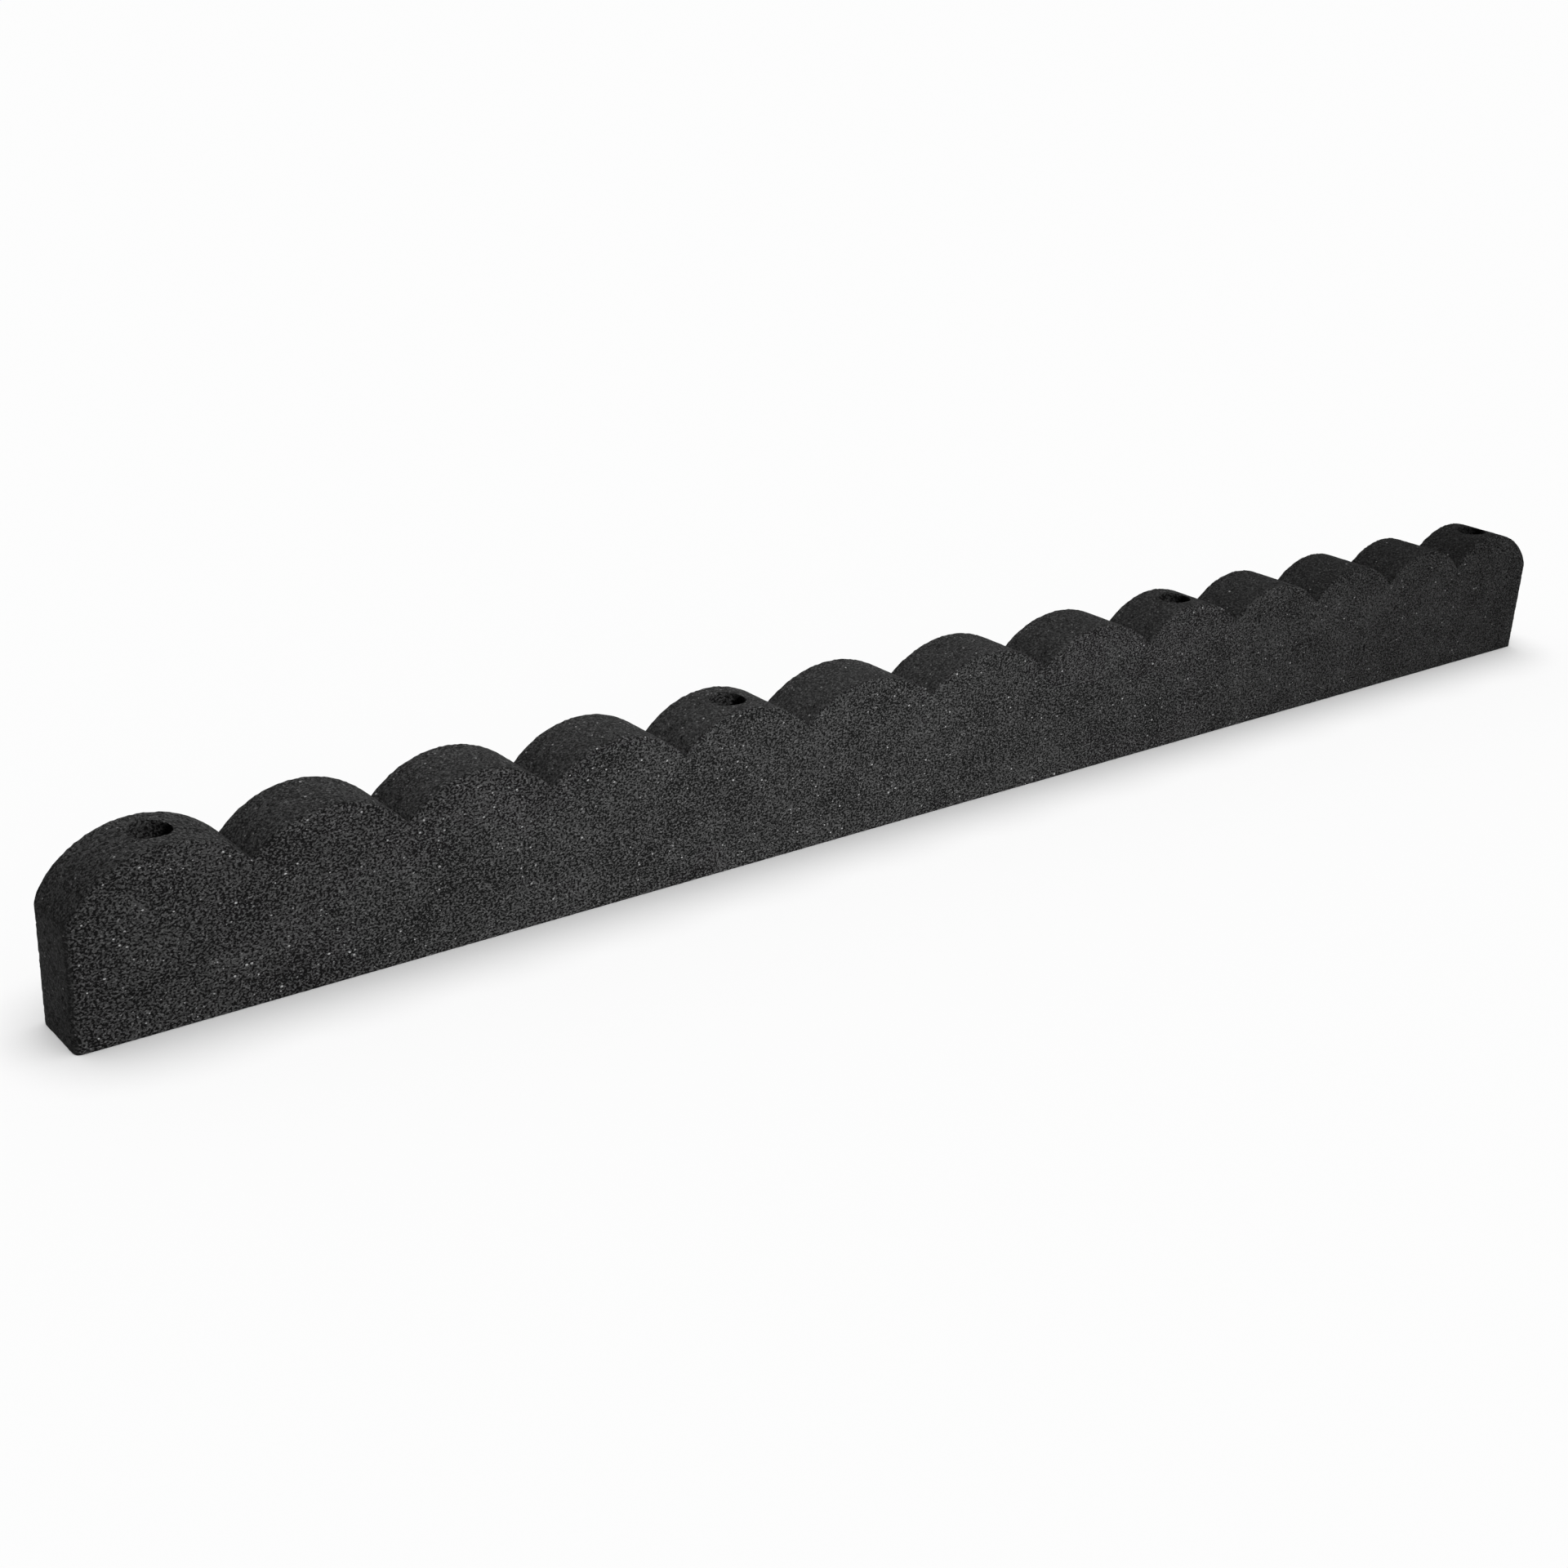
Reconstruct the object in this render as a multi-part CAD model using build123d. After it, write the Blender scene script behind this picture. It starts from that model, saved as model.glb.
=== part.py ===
from build123d import *
from math import sqrt
import os

# Scalloped rubber edging bar, in millimetres.
# +X runs along the bar, the two faces look towards -Y and +Y, +Z is up.
# The origin is the centre of the base.
# The bar is one rubber-crumb moulding with a row of low arches along its top.
# The first and the last arch run on past their crests, down to the bar's ends.
# Four arches have a round recess, and a bore runs from each recess down
# through the base. A steel washer is moulded in under each recess, and a
# plastic sleeve lines the bore below it, so that the head of a ground spike or
# anchor bears on the washer and sleeve instead of pulling through the rubber.

# The bar
LENGTH = 1200.0
THICKNESS = 42.0
VALLEY_HEIGHT = 80.0  # base to the bottom of the V between two arches
ARCH_RISE = 20.0  # valley to crest, the same on every arch
CORNER_RADIUS = 4.0  # the four upright corners at the ends

# Arch widths from one end to the middle one: the same in reverse after that
HALF_WIDTHS = [97.0, 86.0, 88.0, 89.0, 90.0, 100.0]
MIDDLE_WIDTH = 100.0
ARCH_WIDTHS = HALF_WIDTHS + [MIDDLE_WIDTH] + HALF_WIDTHS[::-1]
END_TO_CREST = 53.0  # from an end of the bar to the crest of its end arch

# The fixing points
FIXED_ARCHES = [0, 4, 8, 12]  # which arches have a fixing point, counted from -X
RECESS_RADIUS = 11.0
RECESS_FLOOR = 78.0
WASHER_RADIUS = 15.0
WASHER_THICKNESS = 3.0
SLEEVE_RADIUS = 9.0
BORE_RADIUS = 6.5

CREST_HEIGHT = VALLEY_HEIGHT + ARCH_RISE
WASHER_BASE = RECESS_FLOOR - WASHER_THICKNESS


def valley_places():
    """X of every arch's two ends, from the left end of the bar to the right."""
    places = [-LENGTH / 2]
    for width in ARCH_WIDTHS:
        places.append(places[-1] + width)
    return places


def crest_places():
    """X of every crest: the middle of its arch, except at the bar's two ends."""
    places = valley_places()
    crests = [(start + end) / 2 for start, end in zip(places[:-1], places[1:])]
    crests[0] = places[0] + END_TO_CREST
    crests[-1] = places[-1] - END_TO_CREST
    return crests


def end_height():
    """How high the bar's ends are: where the end arch's circle meets them."""
    valley_to_crest = ARCH_WIDTHS[0] - END_TO_CREST
    circle_radius = (valley_to_crest**2 + ARCH_RISE**2) / (2 * ARCH_RISE)
    circle_middle = CREST_HEIGHT - circle_radius
    return circle_middle + sqrt(circle_radius**2 - END_TO_CREST**2)


def upright_cylinder(x, radius, low, high):
    """A cylinder on the bar's centre plane, from one height to another."""
    height = high - low
    return Pos(x, 0, low) * Cylinder(radius, height, align=(Align.CENTER, Align.CENTER, Align.MIN))


def bar_outline():
    """The face of the bar: a flat base, two upright ends and a row of arcs."""
    places = valley_places()
    heights = [VALLEY_HEIGHT] * len(places)
    heights[0] = end_height()
    heights[-1] = end_height()
    arch_ends = list(zip(places, heights))
    with BuildSketch(Plane.XZ) as sketch:
        with BuildLine():
            Polyline(arch_ends[-1], (places[-1], 0), (places[0], 0), arch_ends[0])
            for start, crest, end in zip(arch_ends[:-1], crest_places(), arch_ends[1:]):
                ThreePointArc(start, (crest, CREST_HEIGHT), end)
        make_face()
    return sketch.sketch


def rubber_bar():
    """The moulding, with the hollows that hold the four washers and sleeves."""
    bar = extrude(bar_outline(), amount=THICKNESS / 2, both=True)
    uprights = bar.edges().filter_by(Axis.Z)
    bar = fillet(uprights, CORNER_RADIUS)
    for arch in FIXED_ARCHES:
        x = crest_places()[arch]
        bar -= upright_cylinder(x, RECESS_RADIUS, RECESS_FLOOR, CREST_HEIGHT + 1)
        bar -= upright_cylinder(x, WASHER_RADIUS, WASHER_BASE, RECESS_FLOOR)
        bar -= upright_cylinder(x, SLEEVE_RADIUS, 0, WASHER_BASE)
    return bar


def bearing_washer(x):
    """The flat ring whose middle is the floor of the recess."""
    ring = upright_cylinder(x, WASHER_RADIUS, WASHER_BASE, RECESS_FLOOR)
    return ring - upright_cylinder(x, BORE_RADIUS, WASHER_BASE, RECESS_FLOOR)


def fixing_sleeve(x):
    """The tube from the base of the bar up to the underside of the washer."""
    tube = upright_cylinder(x, SLEEVE_RADIUS, 0, WASHER_BASE)
    return tube - upright_cylinder(x, BORE_RADIUS, 0, WASHER_BASE)


os.makedirs("parts", exist_ok=True)
export_step(rubber_bar(), "parts/rubber_bar.step")
for number, arch in enumerate(FIXED_ARCHES, start=1):
    x = crest_places()[arch]
    export_step(bearing_washer(x), f"parts/bearing_washer_{number}.step")
    export_step(fixing_sleeve(x), f"parts/fixing_sleeve_{number}.step")
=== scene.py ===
# %% [markdown]
# A scalloped edging bar of bonded rubber crumb.
# The real thing is one heavy moulding, pressed from shredded tyre rubber and a
# binder, with low arches along its top. Four arches have a round hole for a
# ground spike, with a steel washer and a plastic sleeve moulded in below it.
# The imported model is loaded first, and every size below is read from it.

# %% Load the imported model
import math
import bpy
import numpy as np
from mathutils import Matrix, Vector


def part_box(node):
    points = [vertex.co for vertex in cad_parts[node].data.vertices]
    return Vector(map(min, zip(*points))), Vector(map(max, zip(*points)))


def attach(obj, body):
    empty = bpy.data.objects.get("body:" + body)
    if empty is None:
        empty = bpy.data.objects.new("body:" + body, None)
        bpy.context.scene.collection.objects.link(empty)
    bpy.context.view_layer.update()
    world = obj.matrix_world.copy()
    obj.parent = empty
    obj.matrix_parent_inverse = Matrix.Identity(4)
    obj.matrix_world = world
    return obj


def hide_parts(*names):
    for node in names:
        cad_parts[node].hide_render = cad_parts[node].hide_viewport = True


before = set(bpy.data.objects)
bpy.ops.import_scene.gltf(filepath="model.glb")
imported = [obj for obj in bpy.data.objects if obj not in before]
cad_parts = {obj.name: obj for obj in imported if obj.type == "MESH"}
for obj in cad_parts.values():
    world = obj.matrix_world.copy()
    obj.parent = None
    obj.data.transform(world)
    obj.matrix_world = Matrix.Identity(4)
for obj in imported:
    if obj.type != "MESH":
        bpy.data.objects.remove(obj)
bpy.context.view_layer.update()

print("nodes:", sorted(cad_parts))

# %% [markdown]
# Millimetres are easier to think in than metres, so lengths are written as a
# number times MM. One seeded generator makes every random draw, which keeps each
# run of the script the same.

# %% Units and the seed
MM = 0.001
draw = np.random.default_rng(13)


# %% [markdown]
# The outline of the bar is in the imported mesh. The vertices along the arched
# edge of the front face give it: a vertex that is lower than both its neighbours
# is a valley between two arches, and the end of the flat face shows where the
# rounded corner begins.

# %% Read the bar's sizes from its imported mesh
def mesh_points(name):
    """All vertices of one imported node, as an array of rows of x, y, z."""
    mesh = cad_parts[name].data
    points = np.empty(len(mesh.vertices) * 3, np.float32)
    mesh.vertices.foreach_get("co", points)
    return points.reshape(-1, 3).astype(float)


low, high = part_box("rubber_bar")
LEFT, RIGHT = low.x, high.x
HALF_THICKNESS = high.y
CREST = high.z

bar_points = mesh_points("rubber_bar")
front_points = bar_points[np.isclose(bar_points[:, 1], low.y, atol=1e-6)]
CORNER_RADIUS = front_points[:, 0].min() - LEFT

edge_points = front_points[front_points[:, 2] > 1 * MM]
edge_points = np.unique(edge_points.round(6), axis=0)
edge_x, edge_z = edge_points[:, 0], edge_points[:, 2]
is_lower = (edge_z[1:-1] < edge_z[:-2]) & (edge_z[1:-1] < edge_z[2:])
valley_places = edge_x[1:-1][is_lower]
VALLEY = edge_z[1:-1][is_lower].min()
print("valleys:", np.round(valley_places, 3), "at height", round(VALLEY, 4))


# %% [markdown]
# The fixing holes are read from the washers and sleeves, because the middle of
# each washer is the middle of its hole. The recess is the one size that no box
# gives, so it is found as the radius of the bar's vertices at the recess floor.

# %% Read the fixing holes
WASHERS = sorted(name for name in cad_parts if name.startswith("bearing_washer"))
SLEEVES = sorted(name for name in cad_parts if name.startswith("fixing_sleeve"))

washer_low, washer_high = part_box(WASHERS[0])
sleeve_low, sleeve_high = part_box(SLEEVES[0])
WASHER_RADIUS = (washer_high.x - washer_low.x) / 2
SLEEVE_RADIUS = (sleeve_high.x - sleeve_low.x) / 2
RECESS_FLOOR = washer_high.z
WASHER_BASE = washer_low.z

hole_places = []
for name in WASHERS:
    corner_a, corner_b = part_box(name)
    hole_places.append((corner_a.x + corner_b.x) / 2)

first_hole = np.array([hole_places[0], 0.0])
floor_points = bar_points[np.isclose(bar_points[:, 2], RECESS_FLOOR, atol=1e-6)]
floor_reach = np.linalg.norm(floor_points[:, :2] - first_hole, axis=1)
RECESS_RADIUS = floor_reach.min()
print("holes at", np.round(hole_places, 4), "recess radius", round(RECESS_RADIUS, 4))

# %% [markdown]
# A crest is the middle of its arch. The first and the last arch are different,
# because they run on past their crests down to the bar's ends: there the crest
# is where the hole is.

# %% The crests
arch_ends = np.concatenate([[LEFT], valley_places, [RIGHT]])
crests = (arch_ends[:-1] + arch_ends[1:]) / 2
crests[0], crests[-1] = hole_places[0], hole_places[-1]
valley_reach = np.minimum(crests - arch_ends[:-1], arch_ends[1:] - crests)
print("crests:", np.round(crests, 3), "at height", round(CREST, 4))


# %% [markdown]
# One closed skin stands for the moulding. It is laid out like a stretched box:
# a belt of squares goes round the four upright sides, and two lids close the
# top and the base. All three share the same vertices along their edges, so
# nothing needs merging. The squares are about as wide as a rubber crumb, which
# lets the same vertices carry the crumbly relief later.

# %% Height of the arched top
CREST_RISE = CREST - VALLEY


def top_height(x):
    """Height of the top at x. Each arch is part of a circle through its crest
    and a valley. The radius comes from the distance between them and the rise,
    and the height from the circle's equation about the crest."""
    arch = np.clip(np.searchsorted(arch_ends, x, side="right") - 1, 0, len(crests) - 1)
    radius = (valley_reach[arch] ** 2 + CREST_RISE**2) / (2 * CREST_RISE)
    return CREST - radius + np.sqrt(radius**2 - (x - crests[arch]) ** 2)


end_height = top_height(np.array([LEFT]))[0]
print("the ends are", round(end_height, 4), "high")


# %% [markdown]
# The stations along the bar are chosen arch by arch, so that one column of
# vertices falls exactly on every valley and every crest. A valley without a
# column of its own would come out blunt.

# %% Stations along and across the bar
CRUMB_STEP = 1.9 * MM
CORNER_STEPS = 2  # steps round half of an upright corner
ACROSS_STEPS = 16  # steps over the flat part of an end


def stations_along():
    """X of each column on the straight part of a long side, from left to right.
    Each stretch between two marks is divided evenly into steps of about one
    crumb, and the marks are the valleys, the crests and the corners' ends."""
    marks = np.sort(np.concatenate([valley_places, crests]))
    marks = np.concatenate([[LEFT + CORNER_RADIUS], marks, [RIGHT - CORNER_RADIUS]])
    stretches = []
    for start, end in zip(marks[:-1], marks[1:]):
        steps = round((end - start) / CRUMB_STEP)
        stretches.append(np.linspace(start, end, steps + 1)[:-1])
    return np.concatenate(stretches + [marks[-1:]])


def corner_arc(corner_x, corner_y, first_turn, last_turn):
    """Points on half of a rounded corner: the corner's centre plus its radius at
    each angle, in degrees. The last point is left to the next stretch."""
    turn = np.radians(np.linspace(first_turn, last_turn, CORNER_STEPS + 1)[:-1])
    x = corner_x + CORNER_RADIUS * np.cos(turn)
    y = corner_y + CORNER_RADIUS * np.sin(turn)
    return np.stack([x, y], axis=1)


along = stations_along()
inner_right = RIGHT - CORNER_RADIUS
inner_side = HALF_THICKNESS - CORNER_RADIUS
across = np.linspace(-inner_side, inner_side, ACROSS_STEPS + 1)

front_side = np.stack([along, np.full_like(along, -HALF_THICKNESS)], axis=1)
right_side = np.stack([np.full_like(across, RIGHT), across], axis=1)
front_run = np.concatenate([
    corner_arc(-inner_right, -inner_side, 225, 270),
    front_side[:-1],
    corner_arc(inner_right, -inner_side, 270, 315),
])
right_run = np.concatenate([
    corner_arc(inner_right, -inner_side, 315, 360),
    right_side[:-1],
    corner_arc(inner_right, inner_side, 0, 45),
])
outline = np.concatenate([front_run, right_run, -front_run, -right_run])
COLUMNS = len(front_run)
ROWS = len(right_run)
print("outline of", len(outline), "points,", COLUMNS, "columns by", ROWS, "rows")


# %% [markdown]
# A lid is a grid whose edge is that outline. Inside, each column runs straight
# across the bar, and only the first few columns at each end bend to follow the
# rounded corners.

# %% Plan of a lid
END_BLEND = 12  # columns over which the shape of the end fades out


def lid_plan():
    """x and y of every lid vertex, as a grid of columns by rows. A vertex is the
    straight blend of the front and back points of its column. Near an end, the
    bulge of the end's outline away from a straight line is added, faded."""
    front = outline[: COLUMNS + 1]
    back = outline[COLUMNS + ROWS : 2 * COLUMNS + ROWS + 1][::-1]
    share = np.linspace(0, 1, ROWS + 1)[None, :, None]
    plan = front[:, None] * (1 - share) + back[:, None] * share
    right = outline[COLUMNS : COLUMNS + ROWS + 1]
    bulge = right - (right[:1] * (1 - share[0]) + right[-1:] * share[0])
    step = np.arange(COLUMNS + 1)
    fade_left = np.clip(1 - step / END_BLEND, 0, 1) ** 2
    fade_right = fade_left[::-1]
    plan += fade_right[:, None, None] * bulge[None]
    mirrored = bulge * np.array([-1, 1])
    plan += fade_left[:, None, None] * mirrored[None]
    return plan


plain_plan = lid_plan()
print("lid plan of", plain_plan.shape[0], "by", plain_plan.shape[1], "vertices")

# %% [markdown]
# A round hole in a square grid: the block of squares over the hole is taken
# out, and the rings of vertices round it are pulled from square towards round.
# Ring by ring, the corners come in and the flat sides go out, until the ring at
# the hole is a true circle. This keeps the mesh closed with no boolean cut.

# %% Rounding the grid about a hole
HOLE_BLOCK = 6  # rings of squares taken out for a hole
ROUNDED_BLOCK = 10  # rings that the rounding reaches

middle_line = plain_plan[:, ROWS // 2, 0]
hole_columns = [int(np.abs(middle_line - x).argmin()) for x in hole_places]
print("hole centres on columns", hole_columns)


def round_the_grid(plan, radius):
    """The plan with circular rings about each hole. A vertex on ring n of the
    block goes towards the point at that ring's share of the way round a circle,
    whose radius is the hole's for the innermost ring and grows outwards."""
    plan = plan.copy()
    reach = np.arange(-ROUNDED_BLOCK, ROUNDED_BLOCK + 1)
    step_x, step_y = np.meshgrid(reach, reach, indexing="ij")
    ring = np.maximum(np.abs(step_x), np.abs(step_y))
    wide = np.abs(step_x) >= np.abs(step_y)
    minor = np.where(wide, step_y, step_x) / np.maximum(ring, 1)
    turn = minor * math.pi / 4
    major_sign = np.where(wide, np.sign(step_x), np.sign(step_y))
    unit_x = np.where(wide, major_sign * np.cos(turn), np.sin(turn))
    unit_y = np.where(wide, np.sin(turn), major_sign * np.cos(turn))
    strength = np.clip((ROUNDED_BLOCK - ring) / (ROUNDED_BLOCK - HOLE_BLOCK), 0, 1)
    ring_radius = radius + np.maximum(ring - HOLE_BLOCK, 0) * CRUMB_STEP
    for column, x in zip(hole_columns, hole_places):
        columns = slice(column - ROUNDED_BLOCK, column + ROUNDED_BLOCK + 1)
        rows = slice(ROWS // 2 - ROUNDED_BLOCK, ROWS // 2 + ROUNDED_BLOCK + 1)
        block = plan[columns, rows]
        circle = np.stack([x + ring_radius * unit_x, ring_radius * unit_y], axis=2)
        share = strength[:, :, None]
        plan[columns, rows] = block * (1 - share) + circle * share
    return plan


# %% [markdown]
# Every crumb sits a little out of line. The vertices of the grid are therefore
# nudged along the surface by up to a third of a step, except those on edges,
# valleys and holes, whose lines are crisp on the real moulding.

# %% Nudging the lid's vertices
NUDGE = 0.33 * CRUMB_STEP


def lid_is_free():
    """Which lid vertices may be nudged: none on the rim, in a valley, or in the
    block about a hole."""
    free = np.ones((COLUMNS + 1, ROWS + 1), bool)
    free[[0, -1], :] = False
    free[:, [0, -1]] = False
    for x in valley_places:
        free[np.abs(plain_plan[:, 0, 0] - x).argmin()] = False
    for column in hole_columns:
        block = slice(column - HOLE_BLOCK - 1, column + HOLE_BLOCK + 2)
        free[block, ROWS // 2 - HOLE_BLOCK - 1 : ROWS // 2 + HOLE_BLOCK + 2] = False
    return free


def lid_points(radius, height_of):
    """x, y, z of one lid, nudged in plan and then lifted to its height."""
    plan = round_the_grid(plain_plan, radius)
    nudge = draw.uniform(-NUDGE, NUDGE, plan.shape)
    plan += nudge * lid_is_free()[:, :, None]
    height = height_of(plan[:, :, 0])
    return np.concatenate([plan, height[:, :, None]], axis=2)


top_lid = lid_points(RECESS_RADIUS, top_height)
base_lid = lid_points(SLEEVE_RADIUS, np.zeros_like)
print("lid grid", top_lid.shape)

# %% [markdown]
# The belt repeats the outline at one height after another. Its first and last
# steps are short, so that the edges stay crisp, and the rows between them are
# shared out evenly below the arched top.

# %% The belt round the sides
BELT_ROWS = 48
EDGE_STEP = 1.4 * MM


def belt_points():
    """x, y, z of the belt, as a grid of heights by outline points. Row 0 is the
    base edge and the last row the top edge. The others are spread evenly
    between one edge step above the base and one below the top."""
    top = top_height(outline[:, 0])
    share = np.linspace(0, 1, BELT_ROWS - 1)[:, None]
    inner = EDGE_STEP + share * (top - 2 * EDGE_STEP)
    heights = np.concatenate([np.zeros_like(top)[None], inner, top[None]])
    plan = np.broadcast_to(outline, (len(heights), len(outline), 2))
    return np.concatenate([plan, heights[:, :, None]], axis=2)


belt = belt_points()
ahead = np.roll(outline, -1, axis=0) - np.roll(outline, 1, axis=0)
ahead /= np.linalg.norm(ahead, axis=1, keepdims=True)
slide = draw.uniform(-NUDGE, NUDGE, belt.shape[:2])
lift = draw.uniform(-NUDGE, NUDGE, belt.shape[:2])
belt[2:-2, :, :2] += slide[2:-2, :, None] * ahead
belt[2:-2, :, 2] += lift[2:-2]
print("belt grid", belt.shape)

# %% [markdown]
# Now the grids get vertex numbers. The belt comes first, then the inside of
# each lid. A lid's rim takes the numbers of the belt row that it shares.

# %% Vertex numbers of the belt and lids
RING = len(outline)


def lid_numbers(rim_row, first_new):
    """Vertex number of every lid grid point. The rim reads the belt's row, round
    the four sides in turn, and the inside counts on from first_new."""
    numbers = np.full((COLUMNS + 1, ROWS + 1), -1)
    inside = (COLUMNS - 1) * (ROWS - 1)
    numbers[1:-1, 1:-1] = (first_new + np.arange(inside)).reshape(COLUMNS - 1, ROWS - 1)
    rim = rim_row * RING
    numbers[:, 0] = rim + np.arange(COLUMNS + 1)
    numbers[-1, :] = rim + COLUMNS + np.arange(ROWS + 1)
    numbers[::-1, -1] = rim + COLUMNS + ROWS + np.arange(COLUMNS + 1)
    numbers[0, ::-1] = rim + (2 * COLUMNS + ROWS + np.arange(ROWS + 1)) % RING
    return numbers


belt_count = belt.shape[0] * RING
lid_inside = (COLUMNS - 1) * (ROWS - 1)
top_numbers = lid_numbers(BELT_ROWS, belt_count)
base_numbers = lid_numbers(0, belt_count + lid_inside)
print("belt has", belt_count, "vertices, each lid", lid_inside, "more inside")


def belt_faces():
    """Squares between one belt row and the next, facing outwards."""
    rows = np.arange(BELT_ROWS)[:, None] * RING
    here = np.arange(RING)[None, :]
    after = (here + 1) % RING
    corners = [rows + here, rows + after, rows + RING + after, rows + RING + here]
    return np.stack(corners, axis=2).reshape(-1, 4)


def lid_faces(numbers, facing_up):
    """Squares of a lid without the blocks over its holes."""
    keep = np.ones((COLUMNS, ROWS), bool)
    for column in hole_columns:
        block = slice(column - HOLE_BLOCK, column + HOLE_BLOCK)
        keep[block, ROWS // 2 - HOLE_BLOCK : ROWS // 2 + HOLE_BLOCK] = False
    corners = [numbers[:-1, :-1], numbers[1:, :-1], numbers[1:, 1:], numbers[:-1, 1:]]
    faces = np.stack(corners, axis=2)[keep]
    return faces if facing_up else faces[:, ::-1]


# %% [markdown]
# Each hole goes right through: down the recess, round the space that holds the
# washer, and down the space that holds the sleeve to the base. It is a stack of
# rings that starts with the top lid's circle and ends with the base lid's.

# %% The walls of the holes
WALL_STEPS = 11  # rings down the recess wall
BORE_STEPS = 8  # rings down the sleeve's space


def hole_ring(numbers, column):
    """Numbers of the lid vertices round one hole, in order, seen from above."""
    left, right = column - HOLE_BLOCK, column + HOLE_BLOCK
    front, back = ROWS // 2 - HOLE_BLOCK, ROWS // 2 + HOLE_BLOCK
    return np.concatenate([
        numbers[left:right, front],
        numbers[right, front:back],
        numbers[right:left:-1, back],
        numbers[left, back:front:-1],
    ])


def wall_rings(rim, x):
    """x, y, z of the new rings of one hole, top to bottom. The circle's
    directions come from the rim, and each ring has a radius and a height."""
    across_x, across_y = rim[:, 0] - x, rim[:, 1]
    reach = np.hypot(across_x, across_y)
    unit_x, unit_y = across_x / reach, across_y / reach
    rings = []
    for share in np.linspace(0, 1, WALL_STEPS + 1)[1:]:
        height = rim[:, 2] * (1 - share) + RECESS_FLOOR * share
        rings.append((RECESS_RADIUS, height))
    even = np.ones(len(rim))
    rings.append((WASHER_RADIUS, RECESS_FLOOR * even))
    rings.append((WASHER_RADIUS, WASHER_BASE * even))
    for height in np.linspace(WASHER_BASE, 0, BORE_STEPS + 1)[:-1]:
        rings.append((SLEEVE_RADIUS, height * even))
    points = [np.stack([x + r * unit_x, r * unit_y, z], axis=1) for r, z in rings]
    return np.stack(points)


def ring_faces(rings):
    """Squares between each ring of numbers and the one below it, facing the
    middle of the hole."""
    upper, lower = rings[:-1], rings[1:]
    corners = [upper, lower, np.roll(lower, -1, axis=1), np.roll(upper, -1, axis=1)]
    return np.stack(corners, axis=2).reshape(-1, 4)[:, ::-1]


# %% [markdown]
# The belt, the lids and the walls now become one list of vertices and one list
# of squares. The vertices over a hole belong to no square any more, so the rest
# are counted afresh and those are dropped.

# %% Put the whole skin together
points = [belt.reshape(-1, 3), top_lid[1:-1, 1:-1].reshape(-1, 3)]
points.append(base_lid[1:-1, 1:-1].reshape(-1, 3))
faces = [belt_faces(), lid_faces(top_numbers, True), lid_faces(base_numbers, False)]
count = sum(len(part) for part in points)

flat_top = top_lid.reshape(-1, 3)
top_lookup = top_numbers.reshape(-1)
wall_vertices = []
for column, x in zip(hole_columns, hole_places):
    rim_numbers = hole_ring(top_numbers, column)
    rim_grid = hole_ring(np.arange(top_lookup.size).reshape(top_numbers.shape), column)
    walls = wall_rings(flat_top[rim_grid], x)
    new_numbers = count + np.arange(walls.shape[0] * walls.shape[1]).reshape(walls.shape[:2])
    last = hole_ring(base_numbers, column)
    stack = np.concatenate([rim_numbers[None], new_numbers, last[None]])
    points.append(walls.reshape(-1, 3))
    faces.append(ring_faces(stack))
    wall_vertices.append(new_numbers)
    count += new_numbers.size

skin_points = np.concatenate(points)
skin_faces = np.concatenate(faces)
used = np.zeros(len(skin_points), bool)
used[skin_faces.reshape(-1)] = True
renumber = np.cumsum(used) - 1
print("skin:", used.sum(), "vertices,", len(skin_faces), "squares")


# %% [markdown]
# The relief goes inwards only, because the mould's flat wall stopped the crumbs:
# their tops are flush, and what varies is how deep the gaps between them are.
# Most vertices sink a tenth of a millimetre or two and a few sink a whole one.
# Broad soft patches change how open the surface is, as the filling of a mould
# does. Edges lose crumbs most easily, so they sink a little more.

# %% Outward direction of each vertex
def vertex_directions(points, faces):
    """Unit normal of each vertex: the sum of the normals of its squares, where a
    square's normal is the cross product of its two diagonals."""
    diagonal_a = points[faces[:, 2]] - points[faces[:, 0]]
    diagonal_b = points[faces[:, 3]] - points[faces[:, 1]]
    normal = np.cross(diagonal_a, diagonal_b)
    total = np.zeros_like(points)
    for corner in range(4):
        for axis in range(3):
            total[:, axis] += np.bincount(faces[:, corner], normal[:, axis], len(points))
    length = np.linalg.norm(total, axis=1, keepdims=True)
    return total / np.maximum(length, 1e-12)


directions = vertex_directions(skin_points, skin_faces)
facing_up = directions[top_numbers[1:-1, 1:-1].reshape(-1), 2]
print("the top's vertices point up by", round(facing_up.mean(), 3), "on average")


# %% [markdown]
# Some patches of the surface are more open than others. A few sine waves with
# long, random directions add up to such patches, and cost one array sum.

# %% Broad patches, from a few slow waves
WAVES = 7
WAVE_CONTRAST = 0.9


def soft_patches(points, size):
    """A smooth value about 0.5 that changes over about the given size. It is the
    mean of sine waves that run in random directions, with random starts."""
    heading = draw.normal(size=(WAVES, 3))
    heading *= (2 * math.pi / size) / np.linalg.norm(heading, axis=1, keepdims=True)
    start = draw.uniform(0, 2 * math.pi, WAVES)
    mean_wave = np.sin(points @ heading.T + start).mean(axis=1)
    return 0.5 + mean_wave * WAVE_CONTRAST


# %% [markdown]
# Now every vertex gets a depth, most of them a small one. A vertex in an open
# patch is more likely to be a pit. At the washers and the sleeves the depth is
# nothing, so that the steel and plastic sit in clean seats.

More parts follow.
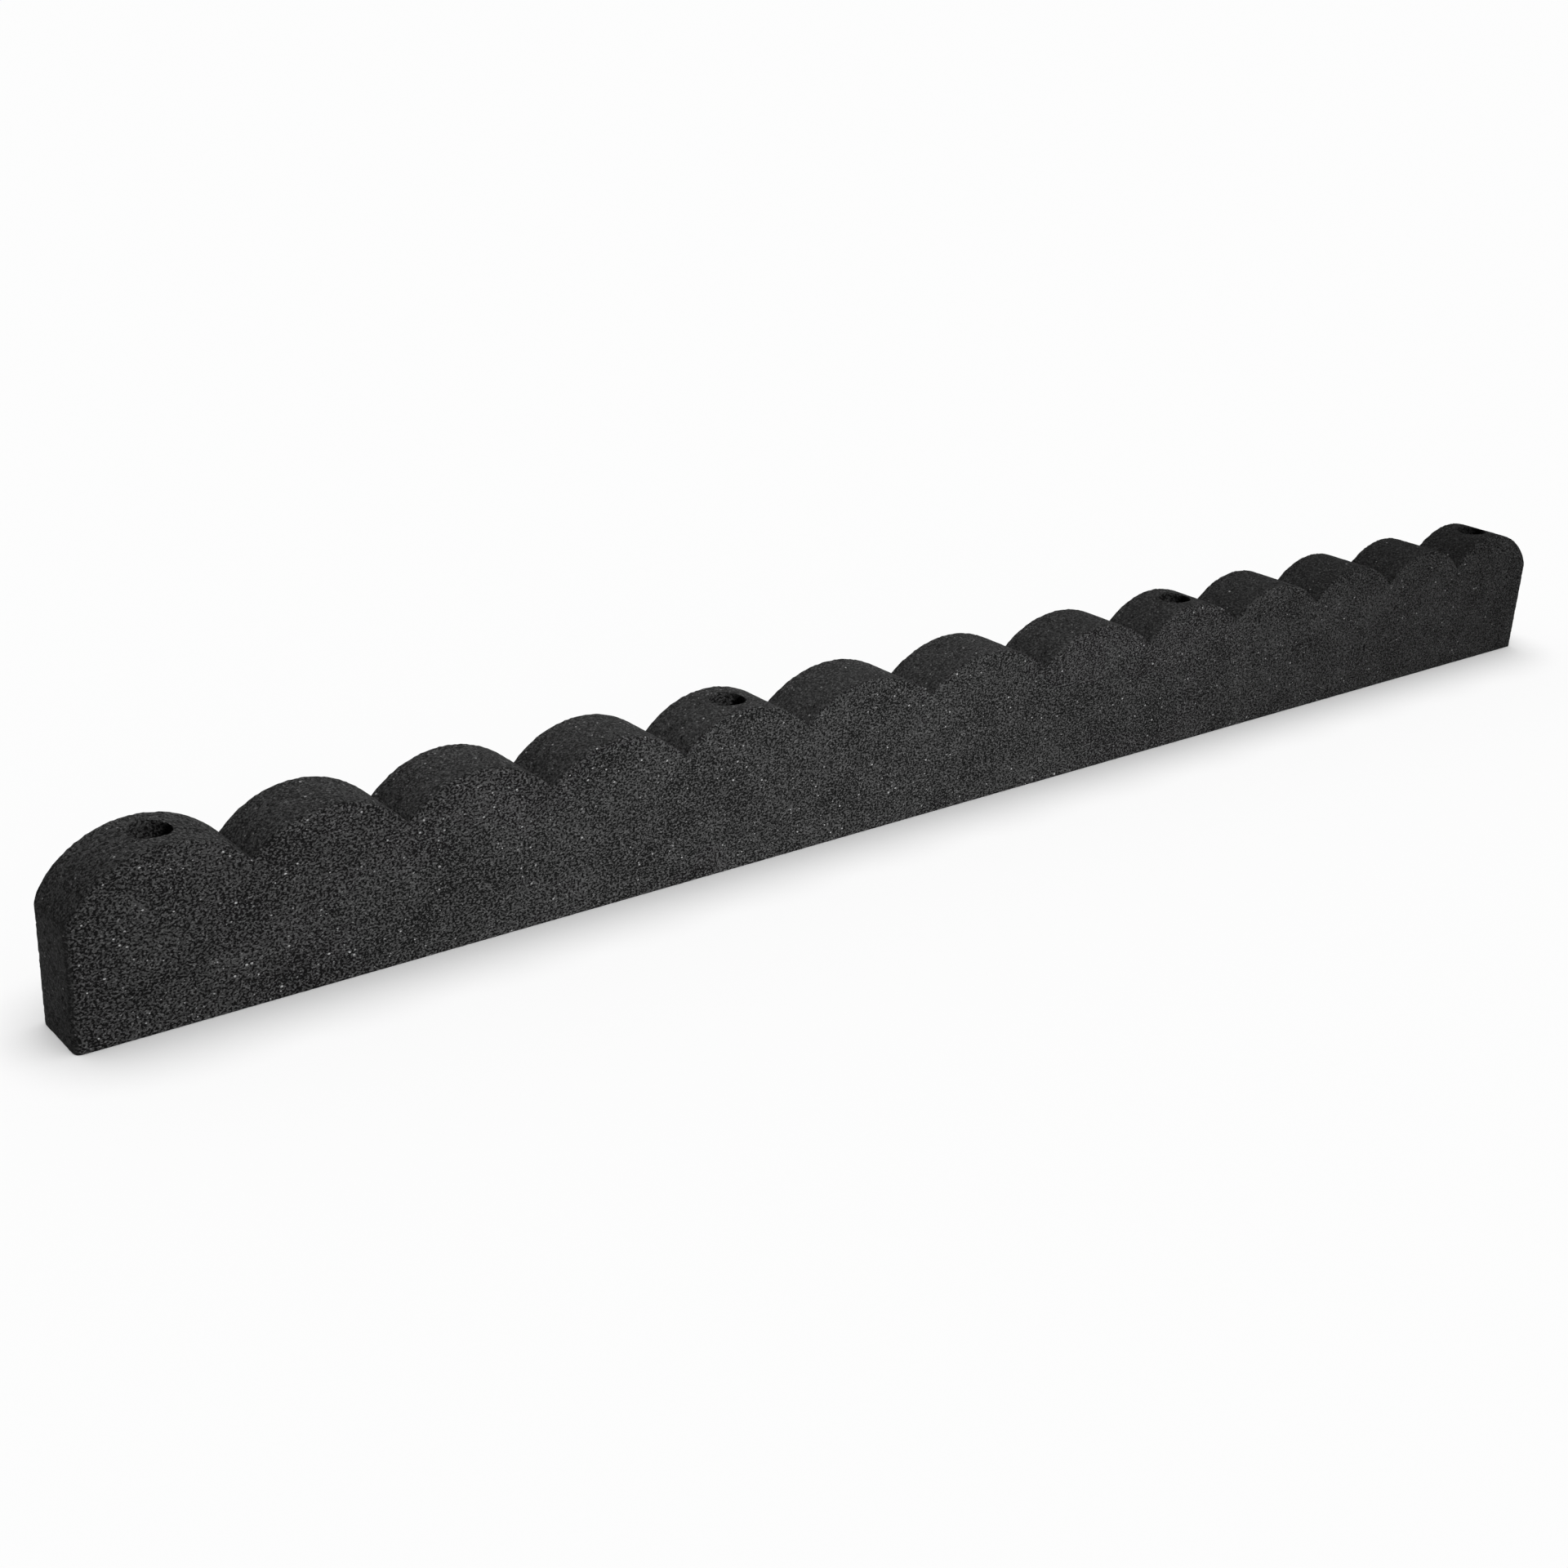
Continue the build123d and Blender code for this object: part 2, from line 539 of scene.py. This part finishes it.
# %% How deep each vertex sinks
TYPICAL_DEPTH = 0.18 * MM
PIT_DEPTH = 0.95 * MM
PIT_SHARE = 0.07
WIDE_PATCH = 60 * MM
SMALL_PATCH = 17 * MM
EDGE_LOSS = 0.3 * MM
TOP_EDGE_RANGE = (0.7, 2.2)  # least and most of the edge loss, along each edge
BASE_EDGE_RANGE = (0.5, 1.2)
HOLE_EDGE_RANGE = (0.5, 1.6)

wide_patches = soft_patches(skin_points, WIDE_PATCH)
small_patches = soft_patches(skin_points, SMALL_PATCH)
openness = np.clip(wide_patches * 0.6 + small_patches * 0.4, 0, 1)
depth = TYPICAL_DEPTH * draw.random(len(skin_points)) ** 1.5
is_pit = draw.random(len(skin_points)) < PIT_SHARE * (0.4 + 1.2 * openness)
depth += is_pit * PIT_DEPTH * draw.uniform(0.5, 1, len(skin_points))

top_edge = np.arange(BELT_ROWS * RING, (BELT_ROWS + 1) * RING)
depth[top_edge] = EDGE_LOSS * draw.uniform(*TOP_EDGE_RANGE, RING)
base_edge = np.arange(RING)
depth[base_edge] = EDGE_LOSS * draw.uniform(*BASE_EDGE_RANGE, RING)

base_inside = slice(belt_count + lid_inside, belt_count + 2 * lid_inside)
depth[base_inside] *= 0.5
for new_numbers in wall_vertices:
    depth[new_numbers[: WALL_STEPS - 2]] *= 0.8
    depth[new_numbers[WALL_STEPS - 2 :]] = 0
for column in hole_columns:
    rim_loss = draw.uniform(*HOLE_EDGE_RANGE, 8 * HOLE_BLOCK)
    depth[hole_ring(base_numbers, column)] = 0
    depth[hole_ring(top_numbers, column)] = EDGE_LOSS * rim_loss

skin_points = skin_points - directions * depth[:, None]
print("deepest pit", round(depth.max() / MM, 2), "mm, mean", round(depth.mean() / MM, 2), "mm")


# %% [markdown]
# The long sides are open-grained, while the ends came out smoother against the
# mould, and so did the top, except on the first arches from the left. The same
# number also darkens the smoother ends and top as a whole, which is painted shade,
# and the walls of the recesses get painted shade too. Both are stored as a number
# on every vertex, which the rubber's material reads.

# %% How open the grain is, with painted shade on the ends, top and recess walls
# The top's and ends' numbers also darken those faces as a whole, as painted shade.
FRONT_GRAIN_AND_SHADE = 1.0
TOP_GRAIN_AND_SHADE = 0.6
END_GRAIN_AND_SHADE = 0.7
ROUGH_REACH = 0.4  # metres from the left end to where the top is smooth

grain_and_face_shade = np.full(len(skin_points), FRONT_GRAIN_AND_SHADE)
top = slice(belt_count, belt_count + lid_inside)
rough_reach = [LEFT, LEFT + ROUGH_REACH]
grain_and_face_shade[top] = np.interp(skin_points[top, 0], rough_reach, [FRONT_GRAIN_AND_SHADE, TOP_GRAIN_AND_SHADE])
belt_x = np.tile(outline[:, 0], BELT_ROWS + 1)
grain_and_face_shade[:belt_count][np.abs(belt_x) > RIGHT - CORNER_RADIUS / 2] = END_GRAIN_AND_SHADE
# Painted shade: the recess walls are marked here for the material to darken.
recess_shade_mask = np.zeros(len(skin_points))
for new_numbers in wall_vertices:
    recess_shade_mask[new_numbers[:WALL_STEPS]] = 1
print("dirty vertices:", int(recess_shade_mask.sum()))


# %% [markdown]
# Arrays reach Blender through foreach_set, which copies a whole array at once.
# The helper that does it makes the floor too. The finished skin takes the place
# of the imported bar and rides on the same body.

# %% From arrays to a mesh
def make_piece(name, points, faces, smooth=True):
    """A mesh object at the origin with these vertices and square faces."""
    mesh = bpy.data.meshes.new(name)
    mesh.vertices.add(len(points))
    mesh.vertices.foreach_set("co", points.astype(np.float32).reshape(-1))
    mesh.loops.add(faces.size)
    mesh.loops.foreach_set("vertex_index", faces.astype(np.int32).reshape(-1))
    mesh.polygons.add(len(faces))
    starts = np.arange(len(faces), dtype=np.int32) * faces.shape[1]
    mesh.polygons.foreach_set("loop_start", starts)
    mesh.polygons.foreach_set("use_smooth", np.full(len(faces), smooth))
    mesh.update(calc_edges=True)
    mesh.validate()
    piece = bpy.data.objects.new(name, mesh)
    bpy.context.scene.collection.objects.link(piece)
    triangles = len(faces) * (faces.shape[1] - 2)
    print(name, "has", len(points), "vertices and", triangles, "triangles")
    return piece


def add_attribute(piece, name, values):
    """Store one number per vertex under this name, for a material to read."""
    attribute = piece.data.attributes.new(name, "FLOAT", "POINT")
    attribute.data.foreach_set("value", values.astype(np.float32))


bar_skin = make_piece("crumb_rubber_bar", skin_points[used], renumber[skin_faces])
add_attribute(bar_skin, "grain_and_face_shade", grain_and_face_shade[used])
add_attribute(bar_skin, "recess_shade_mask", recess_shade_mask[used])
bar_skin.data.set_sharp_from_angle(angle=math.radians(60))
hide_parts("rubber_bar")
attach(bar_skin, "root")


# %% [markdown]
# Bonded crumb is never one black. Each crumb comes from another tyre, so every
# cell of a Voronoi pattern gets its own grey. A noise cut off sharply makes the
# dark pits between the crumbs, a wider Voronoi strews a few pale flecks, and slow
# noise makes whole patches more open. A node tree is wordy to write out, so three
# small cells of helpers come first. This one starts a material.

# %% Starting a material
def new_material(name):
    """An empty node material with its Principled shader and output."""
    material = bpy.data.materials.new(name)
    material.use_nodes = True
    tree = material.node_tree
    tree.nodes.clear()
    shader = tree.nodes.new("ShaderNodeBsdfPrincipled")
    output = tree.nodes.new("ShaderNodeOutputMaterial")
    tree.links.new(shader.outputs["BSDF"], output.inputs["Surface"])
    return material, tree, shader


def object_place(tree):
    """The socket that gives a point's place on the object, in metres."""
    return tree.nodes.new("ShaderNodeTexCoord").outputs["Object"]


# %% [markdown]
# Both patterns read Object coordinates, which are metres here. Their scale is
# one over a width, so a pattern's size is a real one: cells as wide as crumbs.

# %% Two patterns: cells and clouds
def crumb_cells(tree, place, width):
    """Voronoi cells of about the given width, in metres. Each has a colour of
    its own, whose three parts serve as three random draws."""
    cells = tree.nodes.new("ShaderNodeTexVoronoi")
    cells.inputs["Scale"].default_value = 1 / width
    tree.links.new(place, cells.inputs["Vector"])
    return cells


def cloud(tree, place, width, detail=2.0):
    """Noise whose lumps are about the given width, in metres."""
    noise = tree.nodes.new("ShaderNodeTexNoise")
    noise.inputs["Scale"].default_value = 1 / width
    noise.inputs["Detail"].default_value = detail
    tree.links.new(place, noise.inputs["Vector"])
    return noise.outputs["Fac"]


# %% [markdown]
# Patterns give plain numbers. A ramp turns such a number into a grey or into a
# sharp yes and no, and a sum or a product joins two of them.

# %% Ramps and arithmetic
def grey_ramp(tree, value, stops):
    """Greys along a value: stops are pairs of position and grey."""
    ramp = tree.nodes.new("ShaderNodeValToRGB")
    elements = ramp.color_ramp.elements
    while len(elements) < len(stops):
        elements.new(0.5)
    for element, (position, grey) in zip(elements, stops):
        element.position = position
        element.color = (grey, grey, grey, 1)
    tree.links.new(value, ramp.inputs["Fac"])
    return ramp.outputs["Color"]


def combine(tree, operation, first, second):
    """A Math node on two sockets or numbers."""
    node = tree.nodes.new("ShaderNodeMath")
    node.operation = operation
    for socket, value in zip(node.inputs, (first, second)):
        if isinstance(value, (int, float)):
            socket.default_value = value
        else:
            tree.links.new(value, socket)
    return node.outputs["Value"]


# %% [markdown]
# Crumbs lie flat under the press, so every pattern is read at a place whose
# height was multiplied first, which squashes it. The long sides, the top and
# the recesses with their painted shade differ only by the two numbers stored on
# the vertices.

# %% Squashing a pattern, and reading a vertex's number
FLATTENING = 1.35


def flattened(tree, place):
    """The place with its height multiplied by the flattening. A pattern read at
    it comes out lower than it is wide."""
    node = tree.nodes.new("ShaderNodeVectorMath")
    node.operation = "MULTIPLY"
    tree.links.new(place, node.inputs[0])
    node.inputs[1].default_value = (1, 1, FLATTENING)
    return node.outputs["Vector"]


def vertex_number(tree, name):
    """The socket that gives the number stored on the vertices under a name."""
    node = tree.nodes.new("ShaderNodeAttribute")
    node.attribute_name = name
    return node.outputs["Fac"]


# %% [markdown]
# The pale flecks are crumbs of other rubber and grit in the mix. They could be
# painted one by one, but a second Voronoi with wide cells strews them for free:
# most of its cells stay empty, and some get one spot at their centre.

# %% Pale flecks
FLECK_SPACING = 3.0 * MM
FLECK_THINNING = 0.25  # fewer flecks for each metre to the right
FLECK_GREYS = [(0.0, 0.04), (0.7, 0.075), (1.0, 0.20)]
FINE_WIDTH = 0.53 * MM


def pale_flecks(tree, place):
    """Greys of the flecks, and 0 between them. Draws on a cell's colour decide
    whether it holds a fleck, how pale and how wide. A cell on the left wins more
    often than one on the right. Noise added to the distance from the centre
    makes the fleck's edge ragged."""
    cells = crumb_cells(tree, place, FLECK_SPACING)
    parts = tree.nodes.new("ShaderNodeSeparateColor")
    tree.links.new(cells.outputs["Color"], parts.inputs["Color"])
    width = combine(tree, "ADD", parts.outputs["Blue"], 0.5)
    away = combine(tree, "DIVIDE", cells.outputs["Distance"], width)
    ragged = combine(tree, "MULTIPLY", cloud(tree, place, FINE_WIDTH), 0.2)
    spot_edge = combine(tree, "ADD", away, ragged)
    spot = grey_ramp(tree, spot_edge, [(0.23, 1.0), (0.31, 0.0)])
    place_parts = tree.nodes.new("ShaderNodeSeparateXYZ")
    tree.links.new(place, place_parts.inputs["Vector"])
    thinning = combine(tree, "MULTIPLY", place_parts.outputs["X"], FLECK_THINNING)
    lot = combine(tree, "SUBTRACT", parts.outputs["Red"], thinning)
    chosen = grey_ramp(tree, lot, [(0.7, 0.0), (0.72, 1.0)])
    pale = grey_ramp(tree, parts.outputs["Green"], FLECK_GREYS)
    return combine(tree, "MULTIPLY", combine(tree, "MULTIPLY", spot, chosen), pale)


# %% [markdown]
# Between the crumbs are dark gaps. A noise about as wide as a crumb is cut off
# sharply: below the cut is a pit, above it is crumb. A slow noise moves the cut
# up and down, so some patches are more open. The same pits drive the colour and
# the bump, because a pit is both darker and deeper than what is round it.

# %% Pits and crumb greys
CRUMB_WIDTH = 1.1 * MM
PIT_WIDTH = 1.48 * MM
PATCH_WIDTH = 30 * MM
PATCH_CONTRAST = 0.12
PIT_DARKNESS = 0.95
# Share of the grey that painted shade takes off the recess walls.
RECESS_SHADE_LOSS = 0.45
CRUMB_GREYS = [(0.0, 0.011), (0.3, 0.020), (0.7, 0.028), (0.92, 0.036), (1.0, 0.050)]


def crumb_pits(tree, place):
    """1 on the crumbs and 0 in the pits between them."""
    patch = combine(tree, "SUBTRACT", cloud(tree, place, PATCH_WIDTH), 0.5)
    patch = combine(tree, "MULTIPLY", patch, PATCH_CONTRAST)
    noise = combine(tree, "ADD", cloud(tree, place, PIT_WIDTH, 3.0), patch)
    return grey_ramp(tree, noise, [(0.45, 0.0), (0.52, 1.0)])


def crumb_colour(tree, place, lot, pits, fine):
    """The grey of the rubber: a grey for each crumb, times the shade of the pits
    where the surface is open-grained, times fine noise and a painted shade that
    darkens the smoother ends and top. The flecks go on top of it, and painted
    shade on the recess walls takes off its share of the sum."""
    grey = grey_ramp(tree, lot, CRUMB_GREYS)
    grain_and_shade = vertex_number(tree, "grain_and_face_shade")
    darkening = combine(tree, "MULTIPLY", combine(tree, "SUBTRACT", 1.0, pits), grain_and_shade)
    darkening = combine(tree, "MULTIPLY", darkening, PIT_DARKNESS)
    grey = combine(tree, "MULTIPLY", grey, combine(tree, "SUBTRACT", 1.0, darkening))
    fine_shade = grey_ramp(tree, fine, [(0.3, 0.6), (0.7, 1.4)])
    grey = combine(tree, "MULTIPLY", grey, fine_shade)
    # Painted shade: the smoother ends and top are darkened as a whole.
    painted_face_shade = grey_ramp(tree, grain_and_shade, [(0.0, 0.6), (1.0, 1.0)])
    grey = combine(tree, "MULTIPLY", grey, painted_face_shade)
    grey = combine(tree, "MAXIMUM", grey, pale_flecks(tree, place))
    # Painted shade: the marked recess walls lose this share of their grey.
    painted_recess_shade = combine(tree, "MULTIPLY", vertex_number(tree, "recess_shade_mask"), RECESS_SHADE_LOSS)
    return combine(tree, "MULTIPLY", grey, combine(tree, "SUBTRACT", 1.0, painted_recess_shade))


# %% [markdown]
# The rubber puts these together. It is matt, and its shine is turned down much
# further than for a smooth surface, because loose crumb throws no clear
# reflection of the floor even at a low angle.

# %% The rubber
GRAIN_RELIEF = 0.4 * MM


def crumb_rubber():
    """The bar's material. The height of the relief is the pits, plus a level for
    each crumb and fine noise at half strength."""
    material, tree, shader = new_material("bonded crumb rubber")
    place = flattened(tree, object_place(tree))
    cells = crumb_cells(tree, place, CRUMB_WIDTH)
    parts = tree.nodes.new("ShaderNodeSeparateColor")
    tree.links.new(cells.outputs["Color"], parts.inputs["Color"])
    pits = crumb_pits(tree, place)
    fine = cloud(tree, place, FINE_WIDTH)
    grey = crumb_colour(tree, place, parts.outputs["Red"], pits, fine)
    tree.links.new(grey, shader.inputs["Base Color"])
    level = combine(tree, "MULTIPLY", parts.outputs["Green"], 0.5)
    height = combine(tree, "ADD", pits, level)
    height = combine(tree, "ADD", height, combine(tree, "MULTIPLY", fine, 0.5))
    bump = tree.nodes.new("ShaderNodeBump")
    bump.inputs["Strength"].default_value = 1.0
    bump.inputs["Distance"].default_value = GRAIN_RELIEF
    tree.links.new(height, bump.inputs["Height"])
    tree.links.new(bump.outputs["Normal"], shader.inputs["Normal"])
    rough = grey_ramp(tree, parts.outputs["Blue"], [(0.0, 0.6), (1.0, 0.9)])
    tree.links.new(rough, shader.inputs["Roughness"])
    shader.inputs["Specular IOR Level"].default_value = 0.05
    print(material.name, "has", len(tree.nodes), "nodes")
    return material


bar_skin.data.materials.append(crumb_rubber())


# %% [markdown]
# The washers are zinc-plated steel and the sleeves black plastic tube. Their
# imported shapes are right, so they stay and only their finishes change.

# %% Steel and plastic
def zinc_steel():
    """Dull plated steel: cloudy grey, and very slightly uneven."""
    material, tree, shader = new_material("zinc-plated steel")
    place = object_place(tree)
    cloudy = cloud(tree, place, 4 * MM, 4.0)
    tint = grey_ramp(tree, cloudy, [(0.3, 0.30), (0.7, 0.55)])
    tree.links.new(tint, shader.inputs["Base Color"])
    rough = grey_ramp(tree, cloudy, [(0.3, 0.55), (0.7, 0.36)])
    tree.links.new(rough, shader.inputs["Roughness"])
    bump = tree.nodes.new("ShaderNodeBump")
    bump.inputs["Strength"].default_value = 0.25
    bump.inputs["Distance"].default_value = 0.05 * MM
    tree.links.new(cloud(tree, place, 0.5 * MM), bump.inputs["Height"])
    tree.links.new(bump.outputs["Normal"], shader.inputs["Normal"])
    shader.inputs["Metallic"].default_value = 1.0
    return material


def tube_plastic():
    """Black extruded plastic with a faint haze."""
    material, tree, shader = new_material("black tube plastic")
    place = object_place(tree)
    haze = cloud(tree, place, 6 * MM, 3.0)
    tint = grey_ramp(tree, haze, [(0.3, 0.018), (0.7, 0.032)])
    tree.links.new(tint, shader.inputs["Base Color"])
    rough = grey_ramp(tree, haze, [(0.3, 0.42), (0.7, 0.58)])
    tree.links.new(rough, shader.inputs["Roughness"])
    return material


def refinish(names, material):
    """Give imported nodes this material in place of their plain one."""
    print(material.name, "goes on", names)
    for name in names:
        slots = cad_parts[name].data.materials
        slots.clear()
        slots.append(material)


refinish(WASHERS, zinc_steel())
refinish(SLEEVES, tube_plastic())

# %% [markdown]
# The studio is a wide pale floor. It is only a stage, and it is large enough
# for its edge to stay out of every view.

# %% Floor
FLOOR_REACH = 60.0
FLOOR_GREY = (0.9, 0.9, 0.9, 1)

floor_corners = np.array([[-1, -1, 0], [1, -1, 0], [1, 1, 0], [-1, 1, 0]]) * FLOOR_REACH
studio_floor = make_piece("studio_floor", floor_corners, np.array([[0, 1, 2, 3]]), False)
floor_material, floor_tree, floor_shader = new_material("pale floor")
floor_shader.inputs["Base Color"].default_value = FLOOR_GREY
floor_shader.inputs["Roughness"].default_value = 0.95
floor_shader.inputs["Specular IOR Level"].default_value = 0.0
studio_floor.data.materials.append(floor_material)

# %% [markdown]
# The sky is dim, so that the lamps shape the bar. Camera rays see it as white,
# like the floor, which hides the horizon in the low views.

# %% Sky
SKY_STRENGTH = 0.15

sky = bpy.data.worlds.new("dim sky")
sky.use_nodes = True
background = sky.node_tree.nodes["Background"]
background.inputs["Color"].default_value = (1, 1, 1, 1)
seen = sky.node_tree.nodes.new("ShaderNodeLightPath").outputs["Is Camera Ray"]
shine = combine(sky.node_tree, "MAXIMUM", seen, SKY_STRENGTH)
sky.node_tree.links.new(shine, background.inputs["Strength"])
bpy.context.scene.world = sky

# %% [markdown]
# The floor has a lamp of its own overhead, which keeps it white, and the light
# that it throws back up is what shows the bar's ends and flanks. A soft spot
# from the front right lights only the bar: it is aimed left of the middle, so
# the far end falls into shade. A weak low lamp behind fills in the back.

# %% Lamps
FLOOR_LAMP_STRENGTH = 2.95
FLOOR_LAMP_SPREAD = 60  # degrees across, for a soft shadow
SPOT_POWER = 2750.0  # watts
SPOT_AIM = (LEFT + 0.43, 0.0, 0.06)
SPOT_DISTANCE = 4.0
SPOT_HEIGHT_ANGLE = 39  # degrees above the floor
SPOT_SIDE_ANGLE = 18  # degrees to the right of straight in front
SPOT_CONE = 24  # degrees across
SPOT_RADIUS = 0.6  # wide, for soft shadows inside the recesses
FILL_STRENGTH = 1.6
FILL_SPREAD = 40  # degrees across
FILL_HEIGHT_ANGLE = 12  # degrees above the floor


def add_lamp(name, kind, strength, receivers):
    """A lamp that lights only the objects named as its receivers."""
    data = bpy.data.lights.new(name, kind)
    data.energy = strength
    lamp = bpy.data.objects.new(name, data)
    bpy.context.scene.collection.objects.link(lamp)
    lit = bpy.data.collections.new(name + " receivers")
    for piece in receivers:
        lit.objects.link(piece)
    lamp.light_linking.receiver_collection = lit
    return lamp


bar_pieces = [bar_skin] + [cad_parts[name] for name in WASHERS + SLEEVES]
floor_lamp = add_lamp("floor lamp", "SUN", FLOOR_LAMP_STRENGTH, [studio_floor])
floor_lamp.data.angle = math.radians(FLOOR_LAMP_SPREAD)

spot = add_lamp("soft spot", "SPOT", SPOT_POWER, bar_pieces)
spot.data.spot_size = math.radians(SPOT_CONE)
spot.data.spot_blend = 1.0
spot.data.shadow_soft_size = SPOT_RADIUS
height_angle, side_angle = math.radians(SPOT_HEIGHT_ANGLE), math.radians(SPOT_SIDE_ANGLE)
towards_spot = np.array([
    math.sin(side_angle) * math.cos(height_angle),
    -math.cos(side_angle) * math.cos(height_angle),
    math.sin(height_angle),
])
spot.location = np.array(SPOT_AIM) + SPOT_DISTANCE * towards_spot
spot.rotation_euler = (math.pi / 2 - height_angle, 0, side_angle)

fill = add_lamp("back fill", "SUN", FILL_STRENGTH, bar_pieces)
fill.data.angle = math.radians(FILL_SPREAD)
fill.rotation_euler = (math.radians(90 - FILL_HEIGHT_ANGLE), 0, math.pi)
print("spot stands at", np.round(spot.location, 2))

# %% [markdown]
# The camera stands off the left end, looks along the bar and down on it, and
# is rolled a few degrees. Its three angles are turned into three directions:
# where it looks, what is right and what is up in its view.

# %% Camera
CAMERA_PLACE = (LEFT - 0.308, -HALF_THICKNESS - 0.886, 0.525)
CAMERA_HEADING = 39.94  # degrees from straight back towards the right
CAMERA_DIP = 22.49  # degrees below level
CAMERA_ROLL = 3.11  # degrees that its right side is raised
SENSOR_WIDTH = 36.0  # millimetres
LENS = 48.34  # millimetres


def aim(camera, heading, dip, roll):
    """Turn the camera: ahead points along the heading and down by the dip, and
    the right and up directions are then turned about it by the roll."""
    heading, dip, roll = (math.radians(angle) for angle in (heading, dip, roll))
    ahead = np.array([
        math.sin(heading) * math.cos(dip),
        math.cos(heading) * math.cos(dip),
        -math.sin(dip),
    ])
    level = np.array([math.cos(heading), -math.sin(heading), 0])
    upright = np.cross(level, ahead)
    right = math.cos(roll) * level + math.sin(roll) * upright
    up = math.cos(roll) * upright - math.sin(roll) * level
    turned = np.eye(4)
    turned[:3, 0], turned[:3, 1], turned[:3, 2] = right, up, -ahead
    turned[:3, 3] = CAMERA_PLACE
    camera.matrix_world = Matrix(turned.tolist())


camera_data = bpy.data.cameras.new("camera")
camera_data.sensor_width = SENSOR_WIDTH
camera_data.lens = LENS
camera = bpy.data.objects.new("camera", camera_data)
bpy.context.scene.collection.objects.link(camera)
aim(camera, CAMERA_HEADING, CAMERA_DIP, CAMERA_ROLL)
bpy.context.scene.camera = camera
bpy.context.scene.view_settings.view_transform = "Standard"
print("camera at", np.round(CAMERA_PLACE, 3), "lens", LENS, "mm")
